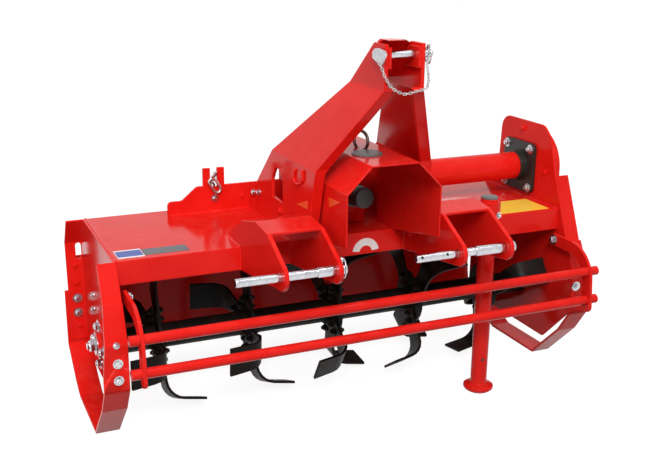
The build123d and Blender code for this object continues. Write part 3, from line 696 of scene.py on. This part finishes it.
RIGHT, LEFT, AHEAD, UP = (-1, 0, 0), (1, 0, 0), (0, -1, 0), (0, 0, 1)


def ring_places(x, y, z, facing, radius, count, first, width):
    """Fasteners in a ring round an axis that runs across the machine, the first one at an angle."""
    found = []
    for index in range(count):
        angle = radians(first + 360 * index / count)
        found.append((x, y + radius * cos(angle), z + radius * sin(angle), facing, width))
    return found


# ---- side plates: bearing, gear case, skids, guard pivots ------------------------------------
BEARING_RIM_X = -PLATE_OUT - 14.0
BEARING_RING_R = 57
bearing_places = ring_places(BEARING_RIM_X, ROTOR_Y, ROTOR_Z, RIGHT, BEARING_RING_R, 4, 0, 20)
fasteners("bearing_bolts", "frame", bearing_places)
HUB_X = edge("bearing_housing", "X", 0)
fasteners("bearing_nut", "frame", [(HUB_X, ROTOR_Y, ROTOR_Z, RIGHT, 32)], thread_height=0.2)
fasteners("side_plate_bolts", "frame", [(-PLATE_OUT, 150, 321, RIGHT, 12), (-PLATE_OUT, 157, 274, RIGHT, 12)])
SKID_FRONT_Y = edge("skid_right", "Y", 0)
FOLD_BACK_Y = edge("skid_right", "Y", 1) - 14.0  # front face of the rear fold, behind which the strap lies
skid_bolts = [(714, SKID_FRONT_Y, 296, AHEAD, 17)]
painted_bolts = []
for side in (-1, 1):
    skid_bolts += [(side * 732, FOLD_BACK_Y, z, AHEAD, 17) for z in (262, 215)]
    painted_bolts.append((side * 732, FOLD_BACK_Y, 172, AHEAD, 12))
    painted_bolts.append((side * 730, FOLD_BACK_Y + 1, 313, AHEAD, 12))
    painted_bolts.append((side * 732, FOLD_BACK_Y + 4, 368, AHEAD, 12))
skid_bolts += [(-729, SKID_FRONT_Y, z, AHEAD, 15) for z in (283, 236)]
fasteners("skid_bolts", "frame", skid_bolts)
fasteners("fold_rivet", "frame", [(-730, SKID_FRONT_Y + 1, 333, (0, -0.93, 0.38), 10)], thread_height=0.05)
GUARD_PIVOT_Y, GUARD_PIVOT_Z = -191.0, 430.0
GUARD_IN = edge("guard_arm_left", "X", 0)
pivot_bolts = [(-GUARD_IN, GUARD_PIVOT_Y, GUARD_PIVOT_Z, LEFT, 19)]
pivot_bolts.append((GUARD_IN, GUARD_PIVOT_Y, GUARD_PIVOT_Z, RIGHT, 19))
fasteners("guard_pivot_bolts", "guard", pivot_bolts)
painted_bolts += [(PLATE_IN, 39, 745, RIGHT, 14), (PLATE_IN, -93, 624, RIGHT, 14)]
TUBE_PLATE_X = PLATE_IN - 12.0
tube_flange_places = [
    (TUBE_PLATE_X, DRIVE_Y + dy, DRIVE_Z + dz, RIGHT, 17) for dy in (-64, 64) for dz in (-64, 64)
]
fasteners("tube_flange_bolts", "frame", tube_flange_places, thread_height=0.2)
CASE_RIM_X = PLATE_OUT + 14.0
CASE_TOP_R, CASE_FOOT_R = 127, 105  # radii of the screw rings at the case's two ends
CASE_BOLT = 10
case_places = []
for angle in range(-10, 200, 35):
    y = DRIVE_Y + CASE_TOP_R * cos(radians(angle))
    case_places.append((CASE_RIM_X, y, DRIVE_Z + CASE_TOP_R * sin(radians(angle)), LEFT, CASE_BOLT))
for angle in range(190, 360, 32):
    y = ROTOR_Y + CASE_FOOT_R * cos(radians(angle))
    case_places.append((CASE_RIM_X, y, ROTOR_Z + CASE_FOOT_R * sin(radians(angle)), LEFT, CASE_BOLT))
for share in (0.25, 0.5, 0.75):
    for side in (-1, 1):
        half = CASE_FOOT_R + (CASE_TOP_R - CASE_FOOT_R) * share
        y = ROTOR_Y + (DRIVE_Y - ROTOR_Y) * share + side * half
        case_places.append((CASE_RIM_X, y, ROTOR_Z + (DRIVE_Z - ROTOR_Z) * share, LEFT, CASE_BOLT))
fasteners("gear_case_bolts", "frame", case_places)

# ---- mast and beam ----------------------------------------------------------------------------
MAST_RIGHT_X = edge("mast_arm_right", "X", 0)
MAST_LEFT_X = edge("mast_arm_left", "X", 1)
BEAM_FRONT_Y = edge("rear_beam", "Y", 0)
foot_bolts = [(MAST_RIGHT_X, y, z, RIGHT, 14) for y, z in ((153, 584), (107, 595))]
fasteners("mast_foot_bolts", "frame", foot_bolts)
fasteners("beam_bolt", "frame", [(-313, BEAM_FRONT_Y, 566, AHEAD, 14)])
painted_bolts += [(MAST_RIGHT_X, -76, 585, RIGHT, 14), (-225, BEAM_FRONT_Y, 567, AHEAD, 12)]
fasteners("painted_bolts", "frame", painted_bolts, slot="red_paint", finish=RED, thread_height=0.05)
HOOP = [(-189, 731), (-180, 706), (-190, 696), (-209, 695), (-232, 702), (-246, 715), (-244, 741)]
rod("mast_side_hoop", [(MAST_RIGHT_X - 3, y, z) for y, z in HOOP], 4.0, "frame", RED)

# ---- top pin, its clip and its chain ---------------------------------------------------------
TOP_Y, TOP_Z = -442.0, 1061.5
CLIP_X = 51.0
clip_ring = []
for angle in range(0, 360, 20):
    clip_ring.append((CLIP_X, TOP_Y + 16 * cos(radians(angle)), TOP_Z - 4 + 22 * sin(radians(angle))))
rod("top_clip_ring", clip_ring, 1.8, "frame", ZINC, closed=True)
CLIP_STEPS = [(0, 2), (1.5, 4), (44, 4), (46, 7)]
turned("top_clip_pin", (CLIP_X, TOP_Y, TOP_Z - 24), UP, CLIP_STEPS, "frame", ZINC, 16)
PIN_CHAIN = [
    (-107, -478, 1052), (-96, -478, 1034), (-88, -478, 1014), (-78, -478, 998), (-66, -478, 985),
    (-50, -478, 975), (-33, -478, 969), (-14, -478, 971), (2, -478, 975), (18, -478, 977),
    (31, -478, 982), (35, -478, 1000), (33, -476, 1020), (31, -472, 1040), (40, -462, 1052),
]
pin_chain_sizes = {
    "Pitch": 7.8 * MM,
    "Link Length": 10.2 * MM,
    "Link Width": 5.4 * MM,
    "Wire Radius": 1.2 * MM,
    "Finish": CHAIN_ZINC,
}
grown("pin_chain", LINKS, line_mesh("pin_chain", [PIN_CHAIN]), pin_chain_sizes, "frame")

# ---- lower pins: a lynch pin with its ring on the right one; the left one's bare cross holes are thin dark discs of painted shade -----
LYNCH_X = edge("hitch_pin_right", "X", 1) - 12
LYNCH_STEPS = [(0, 2.5), (3, 4.5), (46, 4.5), (46.5, 7), (54, 7), (56, 5)]
turned("lynch_pin", (LYNCH_X, PIN_Y, PIN_Z - 24), UP, LYNCH_STEPS, "frame", ZINC, 16)
lynch_ring = []
for angle in range(0, 360, 15):
    swing, rise = cos(radians(angle)), sin(radians(angle))
    lynch_ring.append((LYNCH_X + 7 + 3 * swing, PIN_Y + 21 * swing, PIN_Z + 3 + 26 * rise))
rod("lynch_ring", lynch_ring, 1.9, "frame", ZINC, closed=True)
# painted shade: thin dark discs on the left pin stand for the shade inside its cross holes, which are not cut
for index, along in enumerate((14, 90)):
    shade_spot = (edge("hitch_pin_left", "X", 0) + along, PIN_Y - 9.6, PIN_Z + 5)
    turned(f"painted_shade_pin_hole_{index + 1}", shade_spot, (0, -0.88, 0.47), [(0, 4.2), (0.3, 4.2)], "frame", OILED, 16)

# ---- shield, gearbox and shaft -----------------------------------------------------------------
SHIELD_TOP = edge("pto_shield", "Z", 1)
DISC_STEPS = [(0, 42), (3, 42), (5, 39), (5.5, 30)]
DISC = (-44, -303, SHIELD_TOP - 0.5)
turned("filler_disc", DISC, UP, DISC_STEPS, "frame", GREY_PLASTIC, 40)
RING_X, RING_Y, RING_R = -28.0, -232.0, 27.0
RING_ASIDE, RING_AHEAD = 0.31, -0.95  # the level direction in the ring's plane
shield_ring = []
for angle in range(0, 360, 12):
    out, rise = RING_R * cos(radians(angle)), RING_R * sin(radians(angle))
    shield_ring.append((RING_X + RING_ASIDE * out, RING_Y + RING_AHEAD * out, SHIELD_TOP + RING_R - 5 + rise))
rod("shield_ring", shield_ring, 4.5, "frame", WORN, closed=True)
SEAL_Z = (edge("shaft_seal", "Z", 0) + edge("shaft_seal", "Z", 1)) / 2
NECK_FACE_Y = edge("shaft_seal", "Y", 1)
TILT = radians(5.5)
NECK_FACING = (0, -cos(TILT), sin(TILT))
NECK_RING_R = 50
neck_places = []
for index in range(4):
    aside, up = NECK_RING_R * cos(index * pi / 2), NECK_RING_R * sin(index * pi / 2)
    y, z = NECK_FACE_Y - 2 + up * sin(TILT), SEAL_Z + up * cos(TILT)
    neck_places.append((HITCH_X + aside, y, z, NECK_FACING, 13))
fasteners("neck_bolts", "frame", neck_places)
SHAFT_END_Y = edge("input_shaft", "Y", 0)
SHAFT_TIP = (HITCH_X, SHAFT_END_Y - 4, SEAL_Z + (NECK_FACE_Y - SHAFT_END_Y) * sin(TILT))
INTO_NECK = (0, cos(TILT), -sin(TILT))
CAP_STEPS = [(0, 22), (1.5, 27), (8, 29), (12, 30), (66, 31)]
CAP_STEPS += [(68, 35), (74, 35), (76, 32), (76.5, 24), (66, 24)]
turned("shaft_cap", SHAFT_TIP, INTO_NECK, CAP_STEPS, "input", BLACK_PLASTIC, 32)
fasteners("shield_bolts", "frame", [(edge("pto_shield", "X", 1), y, 548, LEFT, 13) for y in (-120, -150)])

# ---- stand --------------------------------------------------------------------------------------
STAND_X = (edge("stand_tube", "X", 0) + edge("stand_tube", "X", 1)) / 2
STAND_Y = (edge("stand_tube", "Y", 0) + edge("stand_tube", "Y", 1)) / 2
STAND_TOP = edge("stand_tube", "Z", 1)
turned(
    "stand_cap", (STAND_X, STAND_Y, STAND_TOP - 1), UP, [(0, 21), (1.2, 25), (6, 25), (8, 22), (8.6, 14)],
    "stand", GREY_PLASTIC,
)
fasteners("stand_screw", "frame", [(STAND_X + 12, STAND_Y - 31, 566, (0.38, -0.92, 0), 12)])
# painted shade: a thin dark disc stands for the shade inside a hole in the stand tube
turned("stand_painted_shade_hole", (STAND_X - 5, STAND_Y - 24.6, 107), AHEAD, [(0, 5), (0.4, 5)], "stand", OILED, 16)

# ---- tailboard chains ----------------------------------------------------------------------------
# Each hangs from a loose link caught before its notched lug.
CHAIN_HEAD = Vector((0, 195.8, 640))
CHAIN_EYE = Vector((0, 494, 330))
LINK_PITCH = 49.4
chain_sizes = {
    "Pitch": LINK_PITCH * MM * 0.999,
    "Link Length": 58.0 * MM,
    "Link Width": 21.6 * MM,
    "Wire Radius": 4.2 * MM,
    "Finish": CHAIN_ZINC,
}
along = (CHAIN_EYE - CHAIN_HEAD).normalized()
first_link = CHAIN_HEAD + along * 17.5
last_link = first_link + along * LINK_PITCH * 8
for node_name in ("tail_chain_right", "tail_chain_left"):
    chain_x = (edge(node_name, "X", 0) + edge(node_name, "X", 1)) / 2
    hung = [tuple(point + Vector((chain_x, 0, 0))) for point in (last_link, first_link)]
    hung_line = line_mesh(node_name, [hung])
    chain = grown(node_name + "_links", LINKS, hung_line, chain_sizes, "frame")
    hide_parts(node_name)
    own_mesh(chain)
    loose = oblong_points((chain_x + 1, CHAIN_HEAD.y - 3, 607), (0.53, 0, -0.85), (0.85, 0, 0.53), 50, 21.6)
    rod(node_name + "_loose_link", loose, 4.2, "frame", CHAIN_ZINC, closed=True)

# ---- rotor: two bolts through the foot of each blade -----------------------------------------------
BLADE_TURNS = [(-1, 0), (1, 65), (-1, 180), (1, 245)]  # side of the flange, degrees after its first blade
FIRST_BLADES = [105, 108, 135, 160, 186]  # first blade of each flange, degrees ahead from straight up
FLANGE_PITCH = 280
BLADE_BOLT_R = (48, 74)
HEAD_OUT, NUT_OUT = 13, 5  # from a flange's middle to the blade's outer face, and to its own bare face
blade_bolts = []
for index, first in enumerate(FIRST_BLADES):
    for side, turn in BLADE_TURNS:
        angle = radians(first + turn)
        for radius in BLADE_BOLT_R:
            y, z = ROTOR_Y - radius * sin(angle), ROTOR_Z + radius * cos(angle)
            flange_x = FLANGE_PITCH * (index - 2)
            blade_bolts.append((flange_x + side * HEAD_OUT, y, z, (side, 0, 0), 17))
            blade_bolts.append((flange_x - side * NUT_OUT, y, z, (-side, 0, 0), 17))
fasteners("blade_bolts", "rotor", blade_bolts, slot="blade_steel", finish=BLADE_BLACK, thread_height=0.3)

# ---- blank stickers ------------------------------------------------------------------------------
FILM = 0.5


def deck_sticker(name, x_low, x_high, y_low, y_high, finish, lift=0.0):
    """A rectangle of film on the deck."""
    z = DECK_Z + lift
    outline = [(x_low, y_low, z), (x_high, y_low, z), (x_high, y_high, z), (x_low, y_high, z)]
    return panel(name, outline, UP, FILM, "frame", finish)


deck_sticker("deck_sticker_white", -690, -618, -156, -88, WHITE_FILM)
deck_sticker("deck_sticker_blue", -688, -620, -146, -98, BLUE_FILM, FILM)
deck_sticker("deck_sticker_grey", -617, -494, -150, -96, GREY_FILM)
deck_sticker("deck_panel_yellow", 482, 672, -163, -37, YELLOW_FILM)
ARCH = (22, 464)
arch_outline = arc(ARCH, 42, 8, 172, 24) + arc(ARCH, 20, 172, 8, 16)
panel("front_sticker_arch", [(x, HOOD_FRONT, z) for x, z in arch_outline], AHEAD, FILM, "frame", WHITE_FILM)
panel(
    "mast_sticker_triangle",
    [(MAST_RIGHT_X, -196, 636), (MAST_RIGHT_X, -272, 664), (MAST_RIGHT_X, -272, 640)],
    RIGHT, FILM, "frame", ORANGE_FILM,
)
SHIELD_RIGHT_X = edge("pto_shield", "X", 0)
panel(
    "shield_sticker_triangle",
    [(SHIELD_RIGHT_X, -330, 684), (SHIELD_RIGHT_X, -334, 658), (SHIELD_RIGHT_X, -402, 688)],
    RIGHT, FILM, "frame", ORANGE_FILM,
)

# ---- welds ----------------------------------------------------------------------------------------
weld_lines = []
for bracket in ("hitch_bracket_right", "hitch_bracket_left"):
    low_x, high_x = edge(bracket, "X", 0), edge(bracket, "X", 1)
    for x in (low_x, low_x + 12, high_x - 12, high_x):
        weld_lines.append([(x, HOOD_FRONT + 2, DECK_Z), (x, -60, DECK_Z)])
        weld_lines.append([(x, HOOD_FRONT, DECK_Z - 2), (x, HOOD_FRONT, DECK_Z - 66)])
for x in (MAST_RIGHT_X, MAST_LEFT_X):
    weld_lines.append([(x, -258, DECK_Z), (x, 196, DECK_Z)])
beam_ends = (edge("rear_beam", "X", 0) + 4, edge("rear_beam", "X", 1) - 4)
weld_lines.append([(beam_ends[0], BEAM_FRONT_Y, DECK_Z), (MAST_RIGHT_X, BEAM_FRONT_Y, DECK_Z)])
weld_lines.append([(MAST_LEFT_X, BEAM_FRONT_Y, DECK_Z), (beam_ends[1], BEAM_FRONT_Y, DECK_Z)])
for x in (-700, 700):
    weld_lines.append([(x * 0.9985, HOOD_FRONT + 6, DECK_Z), (x * 0.9985, 258, DECK_Z)])
welds("deck_welds", "frame", weld_lines, 3.2)

# ---- floor, light and camera -----------------------------------------------------------------------
def seen_white(tree):
    """1 for what the camera, a mirror or glass sees, 0 for what lights the object."""
    path = add_node(tree, "ShaderNodeLightPath").outputs
    pair = combine(tree, "MAXIMUM", path["Is Camera Ray"], path["Is Glossy Ray"])
    return combine(tree, "MAXIMUM", pair, path["Is Transmission Ray"])


FLOOR_SHARE = 0.7  # how much of the floor seen is plain white, the rest keeps the soft shadow
FLOOR_GLOW = 1.28  # strength of that white, which leaves the floor white where no shadow falls
FLOOR_REACH = 30.0
PURE_WHITE = (1.0, 1.0, 1.0, 1.0)


def studio_floor():
    """A pale seamless floor: it looks white and keeps the machine's soft shadow."""
    made = bpy.data.materials.new("studio_paper")
    made.use_nodes = True
    tree = made.node_tree
    tree.nodes.clear()
    seen = seen_white(tree)
    tone = blend_colour(tree, seen, colour("#8E8C8A"), colour("#F4F3F2"))
    paper = add_node(tree, "ShaderNodeBsdfDiffuse", links={"Color": tone})
    white = add_node(tree, "ShaderNodeEmission", values={"Color": PURE_WHITE, "Strength": FLOOR_GLOW})
    share = times(tree, seen, FLOOR_SHARE)
    mixed = add_node(tree, "ShaderNodeMixShader", links={0: share, 1: paper.outputs[0], 2: white.outputs[0]})
    add_node(tree, "ShaderNodeOutputMaterial", links={"Surface": mixed.outputs[0]})
    mesh = bpy.data.meshes.new("studio_floor")
    corners = [(x * FLOOR_REACH, y * FLOOR_REACH, 0) for x, y in ((-1, -1), (1, -1), (1, 1), (-1, 1))]
    mesh.from_pydata(corners, [], [(0, 1, 2, 3)])
    mesh.materials.append(made)
    floor = bpy.data.objects.new("studio_floor", mesh)
    bpy.context.scene.collection.objects.link(floor)


def studio_world():
    """An even white room: full white where it is seen or mirrored, softer where it lights."""
    world = bpy.data.worlds.new("studio_room")
    bpy.context.scene.world = world
    world.use_nodes = True
    tree = world.node_tree
    tree.nodes.clear()
    strength = add_node(
        tree, "ShaderNodeMapRange", values={"To Min": 0.4, "To Max": 1.0}, links={"Value": seen_white(tree)}
    ).outputs["Result"]
    room = add_node(
        tree, "ShaderNodeBackground", values={"Color": PURE_WHITE}, links={"Strength": strength}
    )
    add_node(tree, "ShaderNodeOutputWorld", links={"Surface": room.outputs[0]})


def area_lamp(name, place, aim, width, height, power):
    """A soft lamp at a place, turned to a point, in metres; its width lies level."""
    lamp = bpy.data.lights.new(name, "AREA")
    lamp.shape = "RECTANGLE"
    lamp.size = width
    lamp.size_y = height
    lamp.energy = power
    made = bpy.data.objects.new(name, lamp)
    made.location = place
    made.rotation_mode = "QUATERNION"
    made.rotation_quaternion = (Vector(aim) - Vector(place)).to_track_quat("-Z", "Y")
    bpy.context.scene.collection.objects.link(made)


studio_floor()
studio_world()
# name, place, aim, width, height, power
LAMPS = [
    ("key_lamp", (-1.8, -4.8, 4.4), (0.0, 0.0, 0.5), 2.2, 2.2, 280.0),
    ("left_lamp", (-4.4, -1.2, 2.4), (0.0, 0.0, 0.4), 3.2, 3.2, 40.0),
    ("right_lamp", (4.4, 0.6, 2.2), (0.0, 0.0, 0.4), 2.0, 2.0, 28.0),
    ("strip_lamp", (0.0, -1.5, 4.0), (0.0, -0.3, 0.4), 5.0, 0.08, 40.0),
]
for lamp_row in LAMPS:
    area_lamp(*lamp_row)

VIEW_PLACE = (-1.162, -2.550, 1.3275)
VIEW_RIGHT = Vector((0.91529306, -0.4026683, 0.00984099))
VIEW_UP = Vector((0.10993788, 0.27325176, 0.95563965))
VIEW_BACK = Vector((-0.38749486, -0.87360844, 0.29437394))
lens = bpy.data.cameras.new("studio_camera")
lens.sensor_width = 36.0
lens.lens = 53.22
lens.clip_start = 0.05
lens.clip_end = 200.0
camera = bpy.data.objects.new("studio_camera", lens)
view_turn = Matrix((VIEW_RIGHT, VIEW_UP, VIEW_BACK)).transposed().to_4x4()
camera.matrix_world = Matrix.Translation(VIEW_PLACE) @ view_turn
bpy.context.scene.collection.objects.link(camera)
bpy.context.scene.camera = camera
bpy.context.scene.view_settings.view_transform = "Standard"
